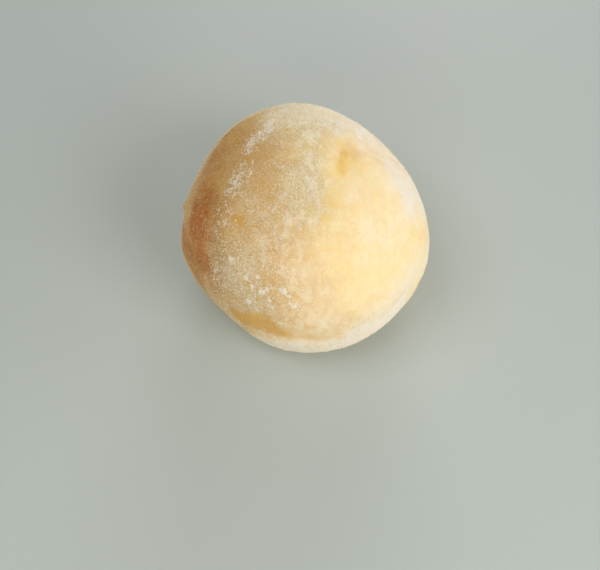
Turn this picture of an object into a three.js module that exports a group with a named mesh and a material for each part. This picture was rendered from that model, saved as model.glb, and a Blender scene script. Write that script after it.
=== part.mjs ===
// Mochi rice cake: a soft, filled ball of rice dough that has been pinched shut, dusted with starch and
// set down, so that it sags on to a flat foot. It is one solid piece.
// Millimetres, +Z up. The front is -Y. The origin is under the middle of the cake, on the foot.

import * as THREE from "three";

// Driving sizes of the plain cake, before any hand has pressed it.
const WIDTH = 58.7; // left to right, at the waist
const DEPTH = 57.3; // front to back, at the waist
const WAIST_HEIGHT = 19.3; // height of the widest level above the foot
const CROWN_RISE = 25.7; // from the waist up to the crown
const KEEL_DROP = 22.0; // how far below the waist the underside would hang if nothing pressed it flat
const CROWN_FULLNESS = 2.15; // 2 is an ellipse, and more is squarer in the shoulders
const KEEL_FULLNESS = 2.75;
const FOOT_CORNER = 1.2; // softness of the turn from the side into the foot

const SUBDIVISIONS = 19; // 20 x 20 triangles on each of the ball's 20 faces
const DEGREE = Math.PI / 180;
const DOUGH_COLOUR = 0xefc687;

// Places where a hand or a neighbour has pressed the dough in, or where it swells in answer (a negative
// depth). Azimuth runs from the right (+X) round by the back (+Y), and elevation is above the waist, both
// in degrees and as seen from the middle of the waist. Across and along are the spreads of the press in
// degrees, and lean turns its long side from upright to the left, as seen from outside. Depth is in
// millimetres.
const presses = [
  // Broad flats and swellings that give the outline its uneven round.
  { name: "front left flat", azimuth: 222, elevation: -8, across: 20, along: 40, lean: 0, depth: 1.5 },
  { name: "left shoulder flat", azimuth: 166, elevation: 8, across: 12, along: 30, lean: 0, depth: 0.55 },
  { name: "back right flat", azimuth: 43, elevation: 22, across: 21, along: 32, lean: 0, depth: 2.4 },
  { name: "right flat", azimuth: 10, elevation: 4, across: 15, along: 34, lean: 0, depth: 1.9 },
  { name: "front right low flat", azimuth: 316, elevation: -12, across: 10, along: 22, lean: 0, depth: 0.7 },
  { name: "back left swelling", azimuth: 124, elevation: 28, across: 19, along: 24, lean: 0, depth: -0.9 },
  { name: "back swelling", azimuth: 91, elevation: 32, across: 16, along: 20, lean: 0, depth: -1.1 },
  { name: "low left swelling", azimuth: 188, elevation: -8, across: 9, along: 18, lean: 0, depth: -1.2 },
  { name: "back low hollow", azimuth: 78, elevation: -14, across: 16, along: 12, lean: 10, depth: 0.9 },
  { name: "back left low flat", azimuth: 138, elevation: -18, across: 14, along: 16, lean: 0, depth: 0.8 },

  // The fold that runs down the left side, with a lip above it and a soft bulge below.
  { name: "left fold, upper end", azimuth: 168, elevation: 47, across: 6, along: 12, lean: 78, depth: 0.3 },
  { name: "left fold", azimuth: 199, elevation: 37, across: 6.5, along: 15, lean: 54, depth: 0.55 },
  { name: "left fold, lower end", azimuth: 214, elevation: 18, across: 6, along: 12, lean: 28, depth: 0.35 },
  { name: "fold lip", azimuth: 204, elevation: 48, across: 7, along: 16, lean: 42, depth: -0.3 },
  { name: "fold bulge", azimuth: 190, elevation: 25, across: 7, along: 14, lean: 50, depth: -0.3 },
  { name: "left dent", azimuth: 182, elevation: 2, across: 3.5, along: 13, lean: 0, depth: 1.0 },

  // Finger marks.
  { name: "crown dimple", azimuth: 12, elevation: 72, across: 3.2, along: 8, lean: 78, depth: 0.5 },
  { name: "crown ridge", azimuth: 342, elevation: 83, across: 4.5, along: 13, lean: 108, depth: -0.35 },
  { name: "front thumb flat", azimuth: 250, elevation: 8, across: 16, along: 8, lean: -12, depth: 0.6 },
  { name: "back fold", azimuth: 100, elevation: 6, across: 4, along: 14, lean: -14, depth: 0.6 },
  { name: "right crease", azimuth: 352, elevation: -6, across: 3.5, along: 12, lean: 12, depth: 0.4 },
];

// The slow waves left by rolling the ball between two palms: wavelengths and height in millimetres.
const WAVE_HEIGHT = 0.12;
const waves = [
  { length: 21, towards: [0.8, 0.5, 0.33], start: 0.4 },
  { length: 16, towards: [-0.45, 0.8, 0.4], start: 2.1 },
  { length: 13, towards: [0.2, -0.5, 0.84], start: 4.0 },
];

// Distance from the middle of the waist to the plain cake's skin, in a unit direction.
function plainRadius(direction) {
  const above = direction.z >= 0;
  const fullness = above ? CROWN_FULLNESS : KEEL_FULLNESS;
  const reach = above ? CROWN_RISE : KEEL_DROP;
  const level = Math.hypot(direction.x / (WIDTH / 2), direction.y / (DEPTH / 2));
  const rise = Math.abs(direction.z) / reach;
  return (level ** fullness + rise ** fullness) ** (-1 / fullness);
}

// The three unit directions of a press: out through its middle, to its right and up along the skin.
function pressFrame({ azimuth, elevation }) {
  const turn = azimuth * DEGREE;
  const tilt = elevation * DEGREE;
  const out = new THREE.Vector3(
    Math.cos(tilt) * Math.cos(turn),
    Math.cos(tilt) * Math.sin(turn),
    Math.sin(tilt),
  );
  const right = new THREE.Vector3(-Math.sin(turn), Math.cos(turn), 0);
  const up = new THREE.Vector3().crossVectors(out, right);
  return { out, right, up };
}

// How deep one press is in a unit direction: a soft oval that fades to nothing a quarter turn away.
function pressDepth(press, direction) {
  const { out, right, up } = pressFrame(press);
  const facing = out.dot(direction);
  if (facing <= 0) return 0;
  const x = right.dot(direction) / facing;
  const y = up.dot(direction) / facing;
  const leaning = press.lean * DEGREE;
  const across = (x * Math.cos(leaning) + y * Math.sin(leaning)) / (press.across * DEGREE);
  const along = (y * Math.cos(leaning) - x * Math.sin(leaning)) / (press.along * DEGREE);
  return press.depth * Math.exp(-0.5 * (across ** 2 + along ** 2));
}

function waveHeight(point) {
  const sum = waves.reduce((total, { length, towards, start }) => {
    const distance = point.dot(new THREE.Vector3(...towards));
    return total + Math.sin((2 * Math.PI * distance) / length + start);
  }, 0);
  return WAVE_HEIGHT * sum;
}

// Height above the foot's level once the floor has pressed the keel flat, with a soft corner.
function settle(height) {
  if (height <= -FOOT_CORNER) return 0;
  if (height >= FOOT_CORNER) return height;
  return (height + FOOT_CORNER) ** 2 / (4 * FOOT_CORNER);
}

function skinPoint(direction) {
  const plain = plainRadius(direction);
  const pressed = presses.reduce((radius, press) => radius - pressDepth(press, direction), plain);
  const point = direction.clone().multiplyScalar(pressed);
  point.addScaledVector(direction, waveHeight(point));
  point.z = settle(point.z + WAIST_HEIGHT);
  return point;
}

// An even ball of triangles whose corners are moved out to the cake's skin.
function cakeGeometry() {
  const geometry = new THREE.IcosahedronGeometry(1, SUBDIVISIONS);
  const corners = geometry.getAttribute("position");
  const direction = new THREE.Vector3();
  for (let i = 0; i < corners.count; i++) {
    direction.fromBufferAttribute(corners, i).normalize();
    corners.setXYZ(i, ...skinPoint(direction));
  }
  geometry.computeBoundingBox();
  const middle = geometry.boundingBox.getCenter(new THREE.Vector3());
  geometry.translate(-middle.x, -middle.y, 0);
  geometry.computeVertexNormals();
  return geometry;
}

function riceCake() {
  const material = new THREE.MeshStandardMaterial({ color: DOUGH_COLOUR, roughness: 0.85, metalness: 0 });
  const mesh = new THREE.Mesh(cakeGeometry(), material);
  mesh.name = "rice_cake";
  return mesh;
}

const cake = new THREE.Group();
cake.add(riceCake());

export default cake;
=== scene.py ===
"""A mochi rice cake: soft yellow rice dough under a coat of white starch, on a plain pale floor.

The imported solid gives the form. This script refines it into a fine skin, lays the starch on it as relief,
as colour and as loose grains, crumbs and lumps, and sets up the light and the camera. Metres, +Z up, the
front at -Y.
"""

import math

import bmesh
import bpy
import numpy as np
from mathutils import Matrix, Vector, noise


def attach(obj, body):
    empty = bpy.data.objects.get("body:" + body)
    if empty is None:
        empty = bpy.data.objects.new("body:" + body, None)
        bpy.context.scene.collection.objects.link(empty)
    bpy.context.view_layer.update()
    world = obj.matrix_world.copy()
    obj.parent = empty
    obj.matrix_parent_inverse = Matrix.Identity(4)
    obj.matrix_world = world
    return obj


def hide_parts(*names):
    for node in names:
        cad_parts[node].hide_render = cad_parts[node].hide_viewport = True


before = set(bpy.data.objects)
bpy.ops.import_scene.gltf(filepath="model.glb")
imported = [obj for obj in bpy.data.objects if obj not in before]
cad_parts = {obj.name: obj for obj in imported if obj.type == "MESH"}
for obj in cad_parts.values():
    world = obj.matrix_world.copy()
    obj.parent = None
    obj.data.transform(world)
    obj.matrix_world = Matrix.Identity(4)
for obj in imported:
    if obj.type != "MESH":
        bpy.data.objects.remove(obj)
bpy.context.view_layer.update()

MM = 0.001
BODY = "root"
NODE = "rice_cake"
SEED = 20

# The point that directions on the cake are measured from: the middle of its waist.
WAIST = np.array([0.0, 0.0, 19.3 * MM])

# The photograph's camera, in pixels of its frame, which is 600 x 570.
FRAME_WIDTH = 600.0
FRAME_MIDDLE = (300.0, 285.0)
CAKE_PIXEL = (304.6, 225.5)  # where the cake's middle shows
FOCAL_PIXELS = 720.0
SENSOR_WIDTH = 36.0  # millimetres
CAMERA_TILT = 62.0  # degrees that the lens points below the horizon
CAMERA_DISTANCE = 170 * MM
NEAREST_SEEN = 1 * MM  # in front of the lens
CAKE_MIDDLE = Vector((0.0, 0.0, 21 * MM))

# Linear colours of the dough, from thin and lit through to thick and shaded, of the veil of starch that
# clings to it, of loose starch and of the floor. The amber and the russet hold painted shade as well: they
# are darkened for the shaded left side, the fold and the pits between starch grains.
YELLOW_DOUGH = (0.88, 0.64, 0.24)
AMBER_DOUGH = (0.71, 0.42, 0.135)
SHADED_RUSSET_DOUGH = (0.46, 0.162, 0.043)
STARCH_VEIL = (0.94, 0.86, 0.67)
WARM_VEIL = (0.88, 0.64, 0.31)
THICK_VEIL = (0.87, 0.82, 0.75)
STARCH_WHITE = (0.99, 0.915, 0.755)
FLOOR_COLOUR = (0.46, 0.53, 0.54)
FLOOR_REACH = 3.0  # metres from the cake to the floor's edges

# The skin's mesh, and its relief: how far each kind stands out and how large its lumps are.
SKIN_LEVELS = 2  # rounds of subdivision
SAME_CORNER = 0.001 * MM  # corners of the solid that are nearer to each other than this are one
DIMPLE_RELIEF = 0.12 * MM
DIMPLE_SIZE = 5.0 * MM
PEEL_RELIEF = 0.05 * MM
PEEL_SIZE = 1.6 * MM
CAKING_RELIEF = 0.11 * MM
CAKING_SIZE = 0.7 * MM
BARE_CAKING = 0.3  # the share of the caking's relief that stays where there is no starch
SMOOTH_FOOT = 1.5 * MM  # the height above the floor at which the relief is whole

# How far the edges of bands and of marks wander, and how large their bends are.
BAND_SWAY = 2.0 * MM
MARK_SWAY = 0.7 * MM
WANDER_SIZE = 5.0 * MM

# Small patches of starch that stay inside a bare mark.
LEFT_BEHIND = 0.75  # the share of the mark's starch that a patch keeps
LEFT_BEHIND_SIZE = 0.8 * MM
LEFT_BEHIND_EDGE = (0.05, 0.4)  # heights of the noise at which a patch starts and is whole

# Noise in the mesh. Each kind of unevenness has its own seed, which takes its noise from another place.
NOISE_OCTAVES = 2
NOISE_DIMENSION = 1.0
NOISE_LACUNARITY = 2.0
SEED_STEP = (7.31, 3.77, 5.13)  # how far apart the places of two seeds are, in lumps
WANDER_SEEDS = (1, 2, 3)
DIMPLE_SEED = 4
PEEL_SEED = 5
CAKING_SEED = 6
CLUMP_SEED = 7
LEFT_BEHIND_SEED = 8

# Loose starch of every kind. Sizes are across, and a flatness is a grain's height over its width.
LOOSE_FROM = (0.5 * MM, 2.0 * MM)  # it thins out below the second height and ends at the first
LOOSE_STRETCH = (0.7, 1.3)  # how short or long a grain may be along each of its axes, for its size
LOOSE_ROUGHNESS = 0.16  # how uneven its corners are

# Fine grains. A body is how white and solid a grain is, from 0 to 1.
GRAIN_COUNT = 24000  # in each of the pieces that follow
grain_pieces = [
    {"name": "starch_grains", "largest": 0.34},
    {"name": "starch_dust", "largest": 0.25},
    {"name": "starch_fine_dust", "largest": 0.21},
]
SMALLEST_GRAIN = 0.5  # as a share of the largest
GRAIN_FLATNESS = 0.55
GRAINS_ON_THIN_COAT = 0.24  # added to the starch, so that a thin coat has some grains too
GRAINS_ON_SOAKED_COAT = 0.004  # added to the square of the dryness, so that a soaked coat has a few
GRAIN_BODY = (0.2, 1.0)
FULL_BODY_COAT = (-0.35, 0.40)  # coats over which a grain's body rises to all of what it drew
COAT_BODY = 0.25  # body that a full coat adds

# Crumbs, most of them small.
CRUMB_COUNT = 7000
CRUMB_FLATNESS = 0.5
SMALLEST_CRUMB = 0.20 * MM
CRUMB_GROWTH = 0.26 * MM  # from the smallest to the largest
CRUMB_POWER = 0.4  # the lower, the fewer crumbs are large
CRUMB_BODY = 0.62
LARGE_CRUMB_BODY = 0.25  # body that the largest have on top of that
CRUMB_BODY_SPREAD = 0.13
CRUMBS_ON_DRY_COAT = 0.2  # outside the crumb bands, where the coat is full and dry
CRUMB_CLUMP_SIZE = 1.3 * MM
CRUMB_CLUMP_EDGE = (-0.05, 0.45)  # heights of the noise at which a clump starts and is whole
BETWEEN_CLUMPS = 0.12  # how close crumbs lie between clumps, next to 1 inside them

# Caked lumps, each a heap of crumbs. Spread and sizes are shares of the lump's width.
LUMP_FLATNESS = 0.6
LUMP_CRUMBS = 10
LUMP_CRUMBS_PER_MM = 14  # more of them for each millimetre of width
LUMP_SPREAD = 0.24
LUMP_CRUMB_SIZES = (0.18, 0.40)

# Soft lights round the cake: where each stands as azimuth and elevation in degrees from the cake's middle,
# its power in watts and its colour. The brightest side of the room is to the front and the right.
LIGHT_DISTANCE = 0.60
LIGHT_SIZE = 0.32
lights = [
    {"name": "key", "azimuth": 320, "elevation": 34, "power": 1.90, "colour": (1.0, 0.95, 0.86)},
    {"name": "high left", "azimuth": 202, "elevation": 63, "power": 1.15, "colour": (1.0, 0.95, 0.86)},
    {"name": "low left", "azimuth": 260, "elevation": 24, "power": 0.90, "colour": (1.0, 0.91, 0.74)},
    {"name": "low right", "azimuth": 0, "elevation": 12, "power": 0.70, "colour": (1.0, 0.96, 0.90)},
    {"name": "low back", "azimuth": 80, "elevation": 14, "power": 1.82, "colour": (1.0, 0.96, 0.90)},
]
AIR_COLOUR = (1.0, 0.95, 0.85)
AIR_STRENGTH = 0.17

# How much starch lies where, from 0 for none to 1 for a closed white coat. Each band follows the line
# between two directions on the cake, given as azimuth and elevation in degrees from the middle of the
# waist. Width is how far from that line the middle of its soft edge lies and edge is how broad the edge is,
# both in degrees. Amount is added to the even coat.
EVEN_COAT = 0.22
THINNEST_COAT = 0.04  # the least that the bands leave, before the marks take more off
starch_bands = {
    "far rim": {"start": (64, 49), "end": (96, 51), "width": 11, "edge": 12, "amount": 0.50},
    "right shoulder": {"start": (6, 36), "end": (58, 44), "width": 16, "edge": 24, "amount": 0.56},
    "right rim": {"start": (0, 14), "end": (56, 26), "width": 8, "edge": 14, "amount": 0.14},
    "right side": {"start": (326, 54), "end": (348, 44), "width": 13, "edge": 20, "amount": 0.27},
    "right flank": {"start": (330, 12), "end": (20, 8), "width": 18, "edge": 20, "amount": 0.26},
    "front right edge": {"start": (300, 0), "end": (338, 8), "width": 11, "edge": 14, "amount": 0.24},
    "front": {"start": (272, 20), "end": (304, 16), "width": 11, "edge": 16, "amount": 0.13},
    "right of the crown": {"start": (6, 62), "end": (332, 64), "width": 6, "edge": 9, "amount": 0.18},
    "right middle": {"start": (306, 38), "end": (342, 38), "width": 6, "edge": 10, "amount": 0.15},
    "crown front": {"start": (264, 75), "end": (298, 82), "width": 4, "edge": 8, "amount": 0.12},
    "front centre": {"start": (268, 36), "end": (278, 16), "width": 7, "edge": 14, "amount": 0.20},
    "front left": {"start": (236, 32), "end": (250, 20), "width": 9, "edge": 14, "amount": 0.09},
    "front low": {"start": (268, 10), "end": (300, 2), "width": 8, "edge": 12, "amount": 0.20},
    "front middle": {"start": (272, 52), "end": (308, 30), "width": 20, "edge": 20, "amount": 0.20},
    "front skirt": {"start": (259, -15), "end": (312, -12), "width": 13, "edge": 14, "amount": 0.72},
    "crown streak": {"start": (60, 85), "end": (274, 76), "width": 2, "edge": 5, "amount": 0.08},
    "back skirt": {"start": (60, -10), "end": (150, -10), "width": 12, "edge": 14, "amount": 0.26},
    "back": {"start": (40, 14), "end": (140, 18), "width": 16, "edge": 26, "amount": 0.20},
    "upper left streak": {"start": (124, 58), "end": (158, 60), "width": 2.2, "edge": 4, "amount": 0.12},
    "left lip streak": {"start": (185, 60), "end": (196, 52), "width": 2.6, "edge": 5, "amount": 0.03},
    "crown ridge": {"start": (90, 68), "end": (268, 80), "width": 4, "edge": 6, "amount": 0.16},
    "crown right": {"start": (66, 72), "end": (310, 78), "width": 6, "edge": 9, "amount": 0.26},
    "left shoulder": {"start": (184, 52), "end": (214, 40), "width": 8, "edge": 12, "amount": -0.15},
    "left fold": {"start": (180, 44), "end": (211, 17), "width": 5, "edge": 9, "amount": -0.16},
    "left rim": {"start": (174, 36), "end": (188, 22), "width": 4, "edge": 8, "amount": 0.09},
    "lower left edge": {"start": (208, 20), "end": (222, 4), "width": 6, "edge": 10, "amount": -0.07},
    "left flank": {"start": (187, 24), "end": (203, 6), "width": 11, "edge": 12, "amount": -0.16},
    "upper left bare": {"start": (132, 44), "end": (172, 60), "width": 8, "edge": 12, "amount": -0.16},
    "upper left edge": {"start": (140, 38), "end": (172, 38), "width": 8, "edge": 12, "amount": -0.20},
    "crown bare": {"start": (150, 72), "end": (204, 67), "width": 5, "edge": 9, "amount": -0.12},
}

# Marks where something has taken the starch off, with firmer edges.
bare_marks = {
    "crown dimple": {"start": (27, 70.7), "end": (350, 72.5), "width": 1.4, "edge": 4, "amount": -0.72},
    "thumb mark, left": {"start": (236, -0.5), "end": (246, 3), "width": 3.8, "edge": 3.5, "amount": -0.85},
    "thumb mark, middle": {"start": (246, 5), "end": (252, 8), "width": 4.8, "edge": 6, "amount": -0.48},
    "thumb mark, right": {"start": (252, 4), "end": (260, 3), "width": 3.4, "edge": 8, "amount": -0.34},
    "first spot": {"start": (250, 34), "end": (253, 33), "width": 1, "edge": 3, "amount": -0.34},
    "second spot": {"start": (239, 27), "end": (242, 26), "width": 0.9, "edge": 3, "amount": -0.26},
    "third spot": {"start": (215, 50), "end": (221, 49), "width": 0.9, "edge": 3.4, "amount": -0.35},
    "fourth spot": {"start": (271.5, 10.2), "end": (273, 10.6), "width": 1.6, "edge": 3.4, "amount": -0.30},
    "fifth spot": {"start": (271, 25), "end": (272.5, 25.5), "width": 0.8, "edge": 3, "amount": -0.26},
}

# How warm the dough looks: yellow at 0, then amber, and russet at 1. Besides the dough's own tone this is
# painted light and shade: yellower and brighter where the lit right side and the crown glow, darker and more
# orange on the shaded left side, in and beside the fold and towards the lower left.
AMBER_WARMTH = 0.5
EVEN_WARMTH = 0.36
warmth_and_shade_bands = {
    "right glow": {"start": (296, 56), "end": (340, 18), "width": 23, "edge": 24, "amount": -0.33},
    "front glow": {"start": (277, 42), "end": (304, 14), "width": 11, "edge": 16, "amount": -0.19},
    "crown glow": {"start": (80, 84), "end": (350, 62), "width": 9, "edge": 14, "amount": -0.24},
    "shoulder glow": {"start": (6, 59), "end": (354, 48), "width": 6, "edge": 11, "amount": -0.22},
    "crown front glow": {"start": (262, 80), "end": (290, 62), "width": 7, "edge": 12, "amount": -0.15},
    "far glow": {"start": (60, 60), "end": (104, 54), "width": 14, "edge": 16, "amount": -0.26},
    "shaded left side": {"start": (150, 40), "end": (212, 12), "width": 20, "edge": 26, "amount": 0.30},
    "left fold": {"start": (185, 41), "end": (209, 17), "width": 6, "edge": 13, "amount": 0.20},
    "beside the fold": {"start": (198, 48), "end": (224, 16), "width": 5, "edge": 14, "amount": 0.16},
    "upper left edge": {"start": (146, 38), "end": (168, 41), "width": 5, "edge": 12, "amount": 0.10},
    "crown left": {"start": (146, 60), "end": (196, 64), "width": 7, "edge": 12, "amount": 0.09},
    "centre": {"start": (266, 58), "end": (292, 50), "width": 8, "edge": 14, "amount": 0.17},
    "lower left": {"start": (194, 8), "end": (206, -12), "width": 11, "edge": 14, "amount": 0.24},
    "left of the glow": {"start": (264, 47), "end": (277, 33), "width": 7, "edge": 16, "amount": 0.40},
    "front left": {"start": (234, 26), "end": (246, 16), "width": 6, "edge": 12, "amount": -0.12},
    "lower left edge": {"start": (212, 16), "end": (222, 4), "width": 5, "edge": 10, "amount": 0.10},
    "front skirt": {"start": (250, -14), "end": (310, -10), "width": 9, "edge": 10, "amount": -0.16},
}

# Narrow warm marks, on the same scale: painted shade in the crown dimple, at the foot of the fold and in a
# second crease, and a warmer tone on the thumb mark.
warmth_and_shade_marks = {
    "crown dimple": {"start": (24, 71), "end": (350, 72.5), "width": 1.8, "edge": 4, "amount": 0.13},
    "thumb mark": {"start": (238, 1), "end": (256, 5), "width": 6, "edge": 7, "amount": 0.08},
    "shaded fold bottom": {"start": (189, 40), "end": (201, 30), "width": 1.8, "edge": 6, "amount": 0.24},
    "shaded second crease": {"start": (189, 33), "end": (199, 25), "width": 1.4, "edge": 5, "amount": 0.22},
}

# Where the starch is dry and lies in separate grains, at 1, or has soaked into a soft veil, at 0.
EVEN_DRYNESS = 0.10
dry_bands = {
    "left half": {"start": (140, 40), "end": (223, 21), "width": 33, "edge": 34, "amount": 0.90},
    "crown": {"start": (150, 64), "end": (262, 68), "width": 13, "edge": 24, "amount": 0.60},
    "far rim": {"start": (76, 54), "end": (130, 52), "width": 15, "edge": 16, "amount": 0.80},
    "crown top": {"start": (76, 66), "end": (270, 76), "width": 8, "edge": 13, "amount": 0.40},
    "back": {"start": (40, 10), "end": (150, 10), "width": 24, "edge": 30, "amount": 0.30},
    "front skirt": {"start": (232, -14), "end": (300, -12), "width": 8, "edge": 12, "amount": 0.20},
}

# Small nubs of dough on the left edge, and a dent, whose height is negative: where each lies, how far it
# spreads in degrees, and its height in millimetres.
nubs = [
    {"azimuth": 175, "elevation": 13, "spread": 1.8, "height": 0.50},
    {"azimuth": 171, "elevation": 25, "spread": 1.6, "height": 0.30},
    {"azimuth": 183, "elevation": 19, "spread": 1.8, "height": -0.25},
]

# Where crumbs of starch lie close together. Amount is how close.
crumb_bands = {
    "upper left streak": {"start": (120, 58), "end": (156, 60), "width": 2.8, "edge": 4, "amount": 0.75},
    "left lip streak": {"start": (182, 61), "end": (195, 54), "width": 3, "edge": 9, "amount": 0.34},
    "front left powder": {"start": (234, 28), "end": (252, 24), "width": 7, "edge": 9, "amount": 0.05},
    "left speckles": {"start": (206, 47), "end": (226, 18), "width": 4.5, "edge": 9, "amount": 0.11},
    "far rim": {"start": (62, 50), "end": (108, 56), "width": 9, "edge": 12, "amount": 0.14},
}

# Lumps of caked starch that stand out singly: where each lies, and how wide it is in millimetres.
big_lumps = [
    {"azimuth": 249, "elevation": 27, "width": 1.3},
    {"azimuth": 259.5, "elevation": 30.5, "width": 1.6},
    {"azimuth": 262, "elevation": 28, "width": 0.9},
    {"azimuth": 253.5, "elevation": 24.5, "width": 1.0},
    {"azimuth": 251, "elevation": 29.5, "width": 0.9},
    {"azimuth": 265.5, "elevation": 23.5, "width": 1.4},
    {"azimuth": 263, "elevation": 25.5, "width": 0.8},
    {"azimuth": 243, "elevation": 18, "width": 1.3},
    {"azimuth": 243.5, "elevation": 27, "width": 1.1},
    {"azimuth": 255, "elevation": 20.5, "width": 0.8},
    {"azimuth": 247.5, "elevation": 14.5, "width": 0.8},
    {"azimuth": 259, "elevation": 11.5, "width": 0.8},
    {"azimuth": 239.5, "elevation": 30.5, "width": 1.2},
    {"azimuth": 245, "elevation": 33, "width": 0.9},
    {"azimuth": 228, "elevation": 33.5, "width": 1.1},
    {"azimuth": 257, "elevation": 40, "width": 0.8},
    {"azimuth": 190, "elevation": 56, "width": 0.9},
    {"azimuth": 135, "elevation": 59, "width": 1.0},
]


def unit(azimuth, elevation):
    """The unit direction at an azimuth and an elevation in degrees."""
    turn = math.radians(azimuth)
    tilt = math.radians(elevation)
    return np.array([math.cos(tilt) * math.cos(turn), math.cos(tilt) * math.sin(turn), math.sin(tilt)])


def smooth_step(low, high, value):
    """0 below low and 1 above high, with a soft rise between them."""
    share = np.clip((value - low) / (high - low), 0.0, 1.0)
    return share * share * (3 - 2 * share)


def degrees_from(cosines):
    """The angles in degrees that have these cosines."""
    return np.degrees(np.arccos(np.clip(cosines, -1.0, 1.0)))


def band_share(directions, band):
    """1 inside a band and 0 outside, with a soft edge, for an array of unit directions."""
    start = unit(*band["start"])
    end = unit(*band["end"])
    line = end - start
    along = np.clip((directions - start) @ line / (line @ line), 0.0, 1.0)
    nearest = start + along[:, None] * line
    nearest /= np.linalg.norm(nearest, axis=1)[:, None]
    gap = degrees_from((directions * nearest).sum(axis=1))
    return 1.0 - smooth_step(band["width"] - band["edge"] / 2, band["width"] + band["edge"] / 2, gap)


def field(directions, even, bands):
    """The sum of an even amount and of the bands, for an array of unit directions."""
    return even + sum(band["amount"] * band_share(directions, band) for band in bands.values())


def noise_at(points, size, seed):
    """Soft noise from about -1 to 1 at an array of points, with lumps about as large as size."""
    shift = Vector([seed * step for step in SEED_STEP])
    settings = (NOISE_DIMENSION, NOISE_LACUNARITY, NOISE_OCTAVES)
    return np.array([noise.fractal(Vector(p) / size + shift, *settings) for p in points])


def swayed_directions(points, sway):
    """Directions from the waist to an array of points, with a wander that makes the bands' edges uneven."""
    wander = np.stack([noise_at(points, WANDER_SIZE, seed) for seed in WANDER_SEEDS], axis=1)
    directions = points - WAIST + wander * sway
    return directions / np.linalg.norm(directions, axis=1)[:, None]


def link_object(name, data):
    """A new object in the scene that shows a mesh, a lamp or a camera."""
    thing = bpy.data.objects.new(name, data)
    bpy.context.scene.collection.objects.link(thing)
    return thing


def coordinates(mesh):
    flat = np.empty(len(mesh.vertices) * 3, np.float32)
    mesh.vertices.foreach_get("co", flat)
    return flat.reshape(-1, 3).astype(float)


def normals(mesh):
    flat = np.empty(len(mesh.vertices) * 3, np.float32)
    mesh.vertex_normals.foreach_get("vector", flat)
    return flat.reshape(-1, 3).astype(float)


def set_attribute(mesh, name, values):
    attribute = mesh.attributes.new(name, "FLOAT", "POINT")
    attribute.data.foreach_set("value", values.astype(np.float32))


def read_attribute(mesh, name):
    values = np.empty(len(mesh.vertices), np.float32)
    mesh.attributes[name].data.foreach_get("value", values)
    return values.astype(float)


def fine_copy(node, levels):
    """A finer mesh on a CAD node's surface, rounded between its corners."""
    rough = link_object("rough", node.data.copy())
    shell = bmesh.new()
    shell.from_mesh(rough.data)
    bmesh.ops.remove_doubles(shell, verts=shell.verts, dist=SAME_CORNER)
    shell.to_mesh(rough.data)
    shell.free()
    subdivide = rough.modifiers.new("subdivide", "SUBSURF")
    subdivide.levels = levels
    bpy.context.view_layer.update()
    evaluated = rough.evaluated_get(bpy.context.evaluated_depsgraph_get())
    fine = bpy.data.meshes.new_from_object(evaluated)
    bpy.data.objects.remove(rough)
    return fine


def starch_on(points, directions, mark_directions):
    """How much starch lies at each point: the bands' coat, less what the marks have taken off."""
    patches = smooth_step(*LEFT_BEHIND_EDGE, noise_at(points, LEFT_BEHIND_SIZE, LEFT_BEHIND_SEED))
    marks = field(mark_directions, 0.0, bare_marks) * (1.0 - LEFT_BEHIND * patches)
    coat = np.clip(field(directions, EVEN_COAT, starch_bands), THINNEST_COAT, 1.0)
    return np.clip(coat + marks, 0.0, 1.0)


def nub_relief(directions, nub):
    """The height of one nub, which fades out evenly on all sides, for an array of unit directions."""
    gap = degrees_from(directions @ unit(nub["azimuth"], nub["elevation"]))
    return nub["height"] * MM * np.exp(-0.5 * (gap / nub["spread"]) ** 2)


def skin_relief(points, mark_directions, starch):
    """How far the skin stands out from the solid at each point. It fades to nothing at the flat foot."""
    relief = DIMPLE_RELIEF * noise_at(points, DIMPLE_SIZE, DIMPLE_SEED)
    relief += PEEL_RELIEF * noise_at(points, PEEL_SIZE, PEEL_SEED)
    relief += CAKING_RELIEF * (BARE_CAKING + starch) * noise_at(points, CAKING_SIZE, CAKING_SEED)
    relief += sum(nub_relief(mark_directions, nub) for nub in nubs)
    return relief * smooth_step(0.0, SMOOTH_FOOT, points[:, 2])


def make_skin():
    """The dough's skin. It carries how much starch lies where, how dry that is and how warm the dough looks,
    a warmth that holds painted shade and light as well.
    """
    mesh = fine_copy(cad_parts[NODE], SKIN_LEVELS)
    mesh.name = "dough_skin"
    points = coordinates(mesh)
    directions = swayed_directions(points, BAND_SWAY)
    mark_directions = swayed_directions(points, MARK_SWAY)
    starch = starch_on(points, directions, mark_directions)
    # The warmth paints shade and light too: darker and more orange on the shaded left side and in the fold,
    # creases and dimple, yellower on the lit right.
    warmth = field(directions, EVEN_WARMTH, warmth_and_shade_bands) + field(mark_directions, 0.0, warmth_and_shade_marks)
    points += normals(mesh) * skin_relief(points, mark_directions, starch)[:, None]
    points[:, 2] = np.maximum(points[:, 2], 0.0)
    mesh.vertices.foreach_set("co", points.astype(np.float32).ravel())
    mesh.polygons.foreach_set("use_smooth", np.ones(len(mesh.polygons), bool))
    set_attribute(mesh, "starch", starch)
    set_attribute(mesh, "warmth", np.clip(warmth, 0.0, 1.0))
    set_attribute(mesh, "dryness", np.clip(field(directions, EVEN_DRYNESS, dry_bands), 0.0, 1.0))
    mesh.update()
    return link_object(mesh.name, mesh)


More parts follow.
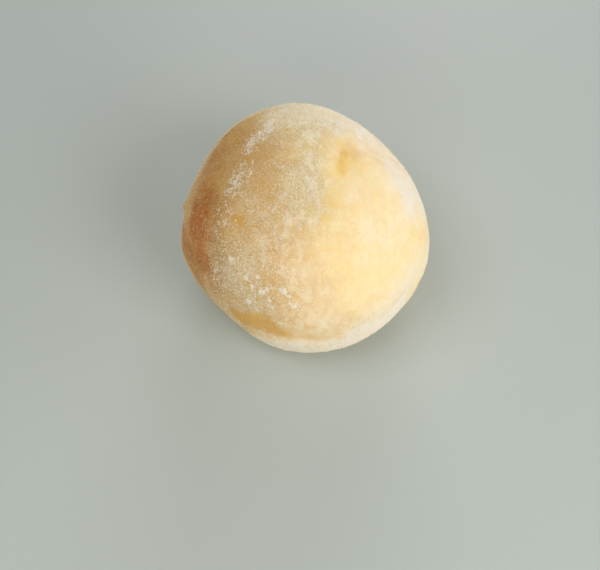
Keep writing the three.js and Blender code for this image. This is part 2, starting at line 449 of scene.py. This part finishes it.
def scatter(mesh, weights, count, random):
    """Points spread over a mesh at random, denser where the corner weights are higher.

    With each point come its normal, and the warmth and the starch there.
    """
    mesh.calc_loop_triangles()
    corners = np.empty(len(mesh.loop_triangles) * 3, np.int32)
    mesh.loop_triangles.foreach_get("vertices", corners)
    corners = corners.reshape(-1, 3)
    points = coordinates(mesh)
    outward = normals(mesh)
    a, b, c = (points[corners[:, i]] for i in range(3))
    areas = np.linalg.norm(np.cross(b - a, c - a), axis=1)
    chance = areas * weights[corners].mean(axis=1)
    picks = random.choice(len(corners), count, p=chance / chance.sum())
    shares = random.dirichlet((1.0, 1.0, 1.0), count)
    places = (points[corners[picks]] * shares[:, :, None]).sum(axis=1)
    facing = (outward[corners[picks]] * shares[:, :, None]).sum(axis=1)
    facing /= np.linalg.norm(facing, axis=1)[:, None]
    nearest = corners[picks, 0]
    return places, facing, read_attribute(mesh, "warmth")[nearest], read_attribute(mesh, "starch")[nearest]


def ball(detail):
    """The corners and faces of a small even ball of radius 1."""
    shell = bmesh.new()
    bmesh.ops.create_icosphere(shell, subdivisions=detail, radius=1.0)
    corners = np.array([v.co for v in shell.verts])
    faces = np.array([[v.index for v in f.verts] for f in shell.faces])
    shell.free()
    return corners, faces


def eight_sided_grain():
    """The corners and outward faces of a grain with a point on each side of each axis."""
    corners = np.concatenate([np.eye(3), -np.eye(3)])
    faces = []
    for x in (0, 3):
        for y in (1, 4):
            for z in (2, 5):
                flipped = (x + y + z) % 2 == 0
                faces.append((x, z, y) if flipped else (x, y, z))
    return corners, np.array(faces)


def strew(name, shape, flatness, places, facing, sizes, warmth, body, random):
    """One mesh of many small grains, each turned at random, squashed against the skin and made uneven.

    A grain's warmth is that of the dough under it, painted shade included, which shows through where its body
    is thin.
    """
    corners, faces = shape
    count = len(places)
    side = np.cross(facing, random.normal(size=(count, 3)))
    side /= np.linalg.norm(side, axis=1)[:, None]
    other = np.cross(facing, side)
    stretch = random.uniform(*LOOSE_STRETCH, (count, 3)) * [1.0, 1.0, flatness]
    uneven = 1.0 + LOOSE_ROUGHNESS * random.normal(size=(count, len(corners), 1))
    local = corners[None] * uneven * stretch[:, None] * sizes[:, None, None] / 2
    axes = np.stack([side, other, facing], axis=1)
    points = places[:, None] + np.einsum("nvk,nkc->nvc", local, axes)
    points[:, :, 2] = np.maximum(points[:, :, 2], 0.0)
    index = faces[None] + (np.arange(count) * len(corners))[:, None, None]
    mesh = bpy.data.meshes.new(name)
    mesh.from_pydata(points.reshape(-1, 3).tolist(), [], index.reshape(-1, 3).tolist())
    set_attribute(mesh, "warmth", np.repeat(warmth, len(corners)))
    set_attribute(mesh, "body", np.repeat(body, len(corners)))
    mesh.update()
    return link_object(name, mesh)


def make_grains(skin, name, largest, random):
    """Loose grains, most of them where the coat is thick and dry. The largest is given in millimetres."""
    starch = read_attribute(skin.data, "starch")
    dryness = read_attribute(skin.data, "dryness")
    above_foot = smooth_step(*LOOSE_FROM, coordinates(skin.data)[:, 2])
    weights = smooth_step(0.0, THINNEST_COAT, starch) * (GRAINS_ON_THIN_COAT + starch)
    weights *= (GRAINS_ON_SOAKED_COAT + dryness**2) * above_foot
    places, facing, warmth, coat = scatter(skin.data, weights, GRAIN_COUNT, random)
    sizes = random.uniform(SMALLEST_GRAIN, 1.0, GRAIN_COUNT) * largest * MM
    body = random.uniform(*GRAIN_BODY, GRAIN_COUNT) * smooth_step(*FULL_BODY_COAT, coat)
    body = np.clip(body + COAT_BODY * coat, 0.0, 1.0)
    return strew(name, eight_sided_grain(), GRAIN_FLATNESS, places, facing, sizes, warmth, body, random)


def make_crumbs(skin, random):
    """Coarser crumbs in clumps, most of them in the crumb bands and some where the coat is thick and dry."""
    points = coordinates(skin.data)
    directions = swayed_directions(points, MARK_SWAY)
    starch = read_attribute(skin.data, "starch")
    dryness = read_attribute(skin.data, "dryness")
    above_foot = smooth_step(*LOOSE_FROM, points[:, 2])
    clumped = smooth_step(*CRUMB_CLUMP_EDGE, noise_at(points, CRUMB_CLUMP_SIZE, CLUMP_SEED))
    weights = field(directions, 0.0, crumb_bands) + CRUMBS_ON_DRY_COAT * starch**2 * dryness
    weights *= (BETWEEN_CLUMPS + (1.0 - BETWEEN_CLUMPS) * clumped) * above_foot
    places, facing, warmth, _ = scatter(skin.data, weights, CRUMB_COUNT, random)
    bigness = random.power(CRUMB_POWER, CRUMB_COUNT)
    sizes = SMALLEST_CRUMB + CRUMB_GROWTH * bigness
    body = CRUMB_BODY + LARGE_CRUMB_BODY * bigness + random.uniform(0.0, CRUMB_BODY_SPREAD, CRUMB_COUNT)
    return strew("starch_crumbs", ball(1), CRUMB_FLATNESS, places, facing, sizes, warmth, body, random)


def make_lumps(skin, random):
    """Each caked lump is a heap of crumbs pressed into one another."""
    points = coordinates(skin.data)
    outward = normals(skin.data)
    directions = points - WAIST
    directions /= np.linalg.norm(directions, axis=1)[:, None]
    dough_warmth = read_attribute(skin.data, "warmth")
    places = []
    facing = []
    sizes = []
    warmth = []
    for lump in big_lumps:
        nearest = np.argmax(directions @ unit(lump["azimuth"], lump["elevation"]))
        width = lump["width"] * MM
        members = int(LUMP_CRUMBS + LUMP_CRUMBS_PER_MM * lump["width"])
        shift = random.normal(size=(members, 3)) * width * LUMP_SPREAD
        out = outward[nearest]
        shift -= (shift @ out)[:, None] * out
        places.append(points[nearest] + shift)
        facing.append(np.tile(out, (members, 1)))
        sizes.append(random.uniform(*LUMP_CRUMB_SIZES, members) * width)
        warmth.append(np.full(members, dough_warmth[nearest]))
    places, facing, sizes, warmth = (np.concatenate(rows) for rows in (places, facing, sizes, warmth))
    body = np.ones(len(sizes))
    return strew("starch_lumps", ball(2), LUMP_FLATNESS, places, facing, sizes, warmth, body, random)


class Graph:
    """A material's nodes, added one by one and joined by their values."""

    NOISE_RANGE = (0.28, 0.72)  # Blender's noise seldom leaves this range

    def __init__(self, name):
        self.material = bpy.data.materials.new(name)
        self.material.use_nodes = True
        self.tree = self.material.node_tree

    def add(self, kind, **settings):
        made = self.tree.nodes.new(kind)
        for key, value in settings.items():
            setattr(made, key, value)
        return made

    def join(self, value, socket):
        """Sets a socket to a number or a colour, or links it to another node's socket."""
        if isinstance(value, bpy.types.NodeSocket):
            self.tree.links.new(value, socket)
        else:
            socket.default_value = value

    def join_all(self, node, inputs):
        for name, value in inputs.items():
            self.join(value, node.inputs[name])

    def surface(self, inputs):
        """Gives the surface its inputs by name, and hands over the finished material."""
        self.join_all(self.tree.nodes["Principled BSDF"], inputs)
        return self.material

    def attribute(self, name):
        return self.add("ShaderNodeAttribute", attribute_name=name).outputs["Fac"]

    def places(self, squeeze=(1.0, 1.0, 1.0)):
        """Coordinates in millimetres, each axis times its squeeze. Below 1 it draws a pattern out."""
        source = self.add("ShaderNodeTexCoord").outputs["Object"]
        scaled = self.add("ShaderNodeMapping")
        self.join_all(scaled, {"Vector": source, "Scale": [s / MM for s in squeeze]})
        return scaled.outputs["Vector"]

    def noise(self, places, size, detail=2.0, rough=0.5):
        """Noise spread evenly from 0 to 1, with lumps about as large as size, in millimetres."""
        made = self.add("ShaderNodeTexNoise")
        self.join_all(made, {"Vector": places, "Scale": 1.0 / size, "Detail": detail, "Roughness": rough})
        return self.ramp(made.outputs["Fac"], *self.NOISE_RANGE)

    def cells(self, places, size):
        """The distance from the middle of the nearest of many cells, and a random number of that cell's."""
        made = self.add("ShaderNodeTexVoronoi")
        self.join_all(made, {"Vector": places, "Scale": 1.0 / size})
        draw = self.add("ShaderNodeSeparateColor")
        self.join(made.outputs["Color"], draw.inputs["Color"])
        return made.outputs["Distance"], draw.outputs["Red"]

    def math(self, operation, a, b):
        made = self.add("ShaderNodeMath", operation=operation)
        self.join(a, made.inputs[0])
        self.join(b, made.inputs[1])
        return made.outputs[0]

    def swing(self, value, amount):
        """Turns a value from 0 to 1 into one that swings by half of amount to either side of 0."""
        return self.math("MULTIPLY", self.math("SUBTRACT", value, 0.5), amount)

    def ramp(self, value, low, high, to_low=0.0, to_high=1.0):
        """Turns a range of values into another, with soft ends."""
        made = self.add("ShaderNodeMapRange", interpolation_type="SMOOTHSTEP")
        inputs = {"Value": value, "From Min": low, "From Max": high, "To Min": to_low, "To Max": to_high}
        self.join_all(made, inputs)
        return made.outputs["Result"]

    def between(self, kind, share, first, second):
        """Goes from the first value to the second as share goes from 0 to 1."""
        made = self.add("ShaderNodeMix", data_type=kind)
        self.join_all(made, {"Factor": share, "A": first, "B": second})
        return made.outputs["Result"]

    def blend(self, share, first, second):
        """Goes from the first number to the second as share goes from 0 to 1."""
        return self.between("FLOAT", share, first, second)

    def mix(self, share, first, second):
        """Goes from the first colour to the second as share goes from 0 to 1."""
        return self.between("RGBA", share, first, second)

    def bump(self, height, distance):
        made = self.add("ShaderNodeBump")
        self.join_all(made, {"Height": height, "Distance": distance})
        return made.outputs["Normal"]


def opaque(colour):
    return (*colour, 1.0)


# The dough's colour. Sizes of the materials' noise and grains are in millimetres.
MOTTLE_SIZE = 3.0
MOTTLE_SWING = 0.13
WARM_VEIL_WARMTH = (0.35, 0.95)  # from this warmth to that, the veil turns to its warm colour

# Unevenness of the soft veil.
STREAK_SQUEEZE = (1.0, 0.40, 0.40)  # draws the streaks out along y and z
STREAK_SIZE = 1.8
STREAK_SWING = 0.15
BLOTCH_SQUEEZE = (1.0, 0.7, 0.7)
BLOTCH_SIZE = 1.6
BLOTCH_SWING = 0.09
SPECK_SIZE = 0.34
SPECK_SWING = 0.08

# Dry grains in the skin's colour, between which the dough shows.
FINE_GRAIN = 0.26
COARSE_GRAIN = 0.44
COARSE_SHARE = 0.45
DRY_BLOTCH_SWING = 2.1  # as a share of the starch
LEAST_CROWDED = 0.36  # the grains' crowding where there is hardly a coat, next to 1 in a full one
GRAINLESS_COAT = 0.14  # under this coat the grains fade out
DRY_COVER = (0.34, 0.98)  # what a grain hides, in a thin coat and in a full one
BETWEEN_GRAINS = 0.08  # what a full coat hides between its grains
FULLEST_COVER = 0.95

# The shape of one grain. The crowding brings it out, and its random draw and the distance from its middle
# hold it back. As what is left goes from the one value of the rise to the other, the grain goes from 0 to 1.
GRAIN_CROWDING = 1.2
GRAIN_DRAW = 0.75
GRAIN_TAPER = 0.40
GRAIN_RISE = (-0.10, 0.40)


def dough_colour(graph, places):
    """Yellow through amber to russet as the warmth says, a little mottled; the amber and russet are partly
    painted shade.
    """
    mottle = graph.noise(places, MOTTLE_SIZE, detail=3.0, rough=0.6)
    warm = graph.math("ADD", graph.attribute("warmth"), graph.swing(mottle, MOTTLE_SWING))
    light_half = graph.mix(graph.ramp(warm, 0.0, AMBER_WARMTH), opaque(YELLOW_DOUGH), opaque(AMBER_DOUGH))
    return graph.mix(graph.ramp(warm, AMBER_WARMTH, 1.0), light_half, opaque(SHADED_RUSSET_DOUGH))


def veil_colour(graph):
    """The starch that clings to the dough, warmer where its light has been through warm dough."""
    share = graph.ramp(graph.attribute("warmth"), *WARM_VEIL_WARMTH)
    return graph.mix(share, opaque(STARCH_VEIL), opaque(WARM_VEIL))


def surface_grains(graph, places, size, crowding):
    """Round grains of one size: 1 on a grain and 0 beside it. The higher the crowding, the more there are."""
    distance, draw = graph.cells(places, size)
    rest = graph.math("MULTIPLY", crowding, GRAIN_CROWDING)
    rest = graph.math("SUBTRACT", rest, graph.math("MULTIPLY", draw, GRAIN_DRAW))
    rest = graph.math("SUBTRACT", rest, graph.math("MULTIPLY", distance, GRAIN_TAPER))
    return graph.ramp(rest, *GRAIN_RISE)


def soft_veil(graph, starch, blotches):
    """The share of the skin that soaked starch hides, before it is kept within its limits."""
    streaks = graph.noise(graph.places(STREAK_SQUEEZE), STREAK_SIZE, detail=2.0, rough=0.6)
    specks = graph.noise(graph.places(BLOTCH_SQUEEZE), SPECK_SIZE, detail=1.0, rough=0.5)
    veil = graph.math("ADD", starch, graph.swing(streaks, STREAK_SWING))
    veil = graph.math("ADD", veil, graph.swing(blotches, BLOTCH_SWING))
    return graph.math("ADD", veil, graph.swing(specks, SPECK_SWING))


def dry_grains(graph, places, starch, blotches):
    """The share of the skin that dry starch hides, and the grains' height from 0 to 1."""
    uneven = graph.math("MULTIPLY", starch, graph.swing(blotches, DRY_BLOTCH_SWING))
    level = graph.math("ADD", starch, uneven)
    crowding = graph.ramp(level, 0.0, 1.0, LEAST_CROWDED, 1.0)
    fine = surface_grains(graph, places, FINE_GRAIN, crowding)
    coarse = surface_grains(graph, places, COARSE_GRAIN, crowding)
    grains = graph.blend(COARSE_SHARE, fine, coarse)
    grains = graph.math("MULTIPLY", grains, graph.ramp(starch, 0.0, GRAINLESS_COAT))
    hidden = graph.math("MULTIPLY", grains, graph.ramp(level, 0.0, 1.0, *DRY_COVER))
    return graph.math("ADD", hidden, graph.math("MULTIPLY", level, BETWEEN_GRAINS)), grains


def starch_cover(graph, places):
    """The share of the skin that starch hides, and the starch's height from 0 to 1.

    Where the starch is dry it lies in separate grains, and where it has soaked in it is a soft veil.
    """
    dryness = graph.attribute("dryness")
    starch = graph.attribute("starch")
    blotches = graph.noise(graph.places(BLOTCH_SQUEEZE), BLOTCH_SIZE, detail=3.0, rough=0.6)
    dry, grains = dry_grains(graph, places, starch, blotches)
    cover = graph.blend(dryness, soft_veil(graph, starch, blotches), dry)
    cover = graph.math("MINIMUM", graph.math("MAXIMUM", cover, 0.0), FULLEST_COVER)
    return cover, graph.blend(dryness, cover, grains)


def dough_material():
    """Dough, under starch that thins out grain by grain."""
    graph = Graph("starched_dough")
    places = graph.places()
    cover, height = starch_cover(graph, places)
    thick = graph.ramp(graph.attribute("starch"), low=0.5, high=1.0)
    veil = graph.mix(thick, veil_colour(graph), opaque(THICK_VEIL))
    return graph.surface({
        "Base Color": graph.mix(cover, dough_colour(graph, places), veil),
        "Roughness": graph.ramp(cover, low=0.0, high=0.6, to_low=0.52, to_high=0.92),
        "Normal": graph.bump(height, distance=0.06 * MM),
        "Subsurface Weight": graph.ramp(cover, low=0.2, high=1.0, to_low=0.5, to_high=0.12),
        "Subsurface Radius": (1.0, 0.50, 0.20),
        "Subsurface Scale": 3.5 * MM,
        "Specular IOR Level": 0.06,
    })


def starch_material(name):
    """Loose dry starch: white and dull, with the dough's colour showing through thin grains."""
    graph = Graph(name)
    places = graph.places()
    patches = graph.noise(places, size=0.5)
    body = graph.math("ADD", graph.attribute("body"), graph.swing(patches, amount=0.2))
    white = graph.mix(graph.ramp(body, low=0.3, high=0.9), veil_colour(graph), opaque(STARCH_WHITE))
    return graph.surface({
        "Base Color": graph.mix(body, dough_colour(graph, places), white),
        "Roughness": 0.95,
        "Normal": graph.bump(graph.noise(places, size=0.12), distance=0.02 * MM),
        "Subsurface Weight": 0.3,
        "Subsurface Radius": (1.0, 0.7, 0.4),
        "Subsurface Scale": 0.4 * MM,
        "Specular IOR Level": 0.2,
    })


def floor_material():
    return Graph("pale_floor").surface({"Base Color": opaque(FLOOR_COLOUR), "Roughness": 0.6})


def make_floor():
    reach = FLOOR_REACH
    corners = [(-reach, -reach, 0), (reach, -reach, 0), (reach, reach, 0), (-reach, reach, 0)]
    mesh = bpy.data.meshes.new("floor")
    mesh.from_pydata(corners, [], [(0, 1, 2, 3)])
    floor = link_object("floor", mesh)
    floor.data.materials.append(floor_material())
    return floor


def make_camera():
    """Places the camera so that the cake's middle falls on its pixel, at the photograph's tilt."""
    tilt = math.radians(CAMERA_TILT)
    forward = Vector((0.0, math.cos(tilt), -math.sin(tilt)))
    right = Vector((1.0, 0.0, 0.0))
    up = right.cross(forward)
    across = (CAKE_PIXEL[0] - FRAME_MIDDLE[0]) / FOCAL_PIXELS
    down = (CAKE_PIXEL[1] - FRAME_MIDDLE[1]) / FOCAL_PIXELS
    sight = (forward + right * across - up * down).normalized()
    data = bpy.data.cameras.new("camera")
    data.sensor_width = SENSOR_WIDTH
    data.lens = FOCAL_PIXELS / FRAME_WIDTH * SENSOR_WIDTH
    data.clip_start = NEAREST_SEEN
    camera = link_object("camera", data)
    turned = Matrix((right, up, -forward)).transposed().to_4x4()
    camera.matrix_world = Matrix.Translation(CAKE_MIDDLE - sight * CAMERA_DISTANCE) @ turned
    bpy.context.scene.camera = camera


def make_light(name, azimuth, elevation, power, colour):
    """A square soft light that faces the cake."""
    data = bpy.data.lights.new(name, "AREA")
    data.size = LIGHT_SIZE
    data.energy = power
    data.color = colour
    lamp = link_object(name, data)
    away = Vector(unit(azimuth, elevation))
    lamp.location = CAKE_MIDDLE + away * LIGHT_DISTANCE
    lamp.rotation_mode = "QUATERNION"
    lamp.rotation_quaternion = (-away).to_track_quat("-Z", "Y")


def make_air():
    """The even light that comes from all sides."""
    world = bpy.data.worlds.new("room")
    world.use_nodes = True
    air = world.node_tree.nodes["Background"]
    air.inputs["Color"].default_value = opaque(AIR_COLOUR)
    air.inputs["Strength"].default_value = AIR_STRENGTH
    bpy.context.scene.world = world


random = np.random.default_rng(SEED)
skin = make_skin()
skin.data.materials.clear()
skin.data.materials.append(dough_material())
loose = [make_grains(skin, random=random, **piece) for piece in grain_pieces]
crumbs = make_crumbs(skin, random)
lumps = make_lumps(skin, random)
for grains in loose:
    grains.data.materials.append(starch_material(grains.name + "_white"))
crumbs.data.materials.append(starch_material("coarse_starch"))
lumps.data.materials.append(starch_material("caked_starch"))

for piece in (skin, *loose, crumbs, lumps):
    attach(piece, BODY)
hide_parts(NODE)

floor = make_floor()
make_camera()
for light in lights:
    make_light(**light)
make_air()
bpy.context.scene.view_settings.view_transform = "Standard"
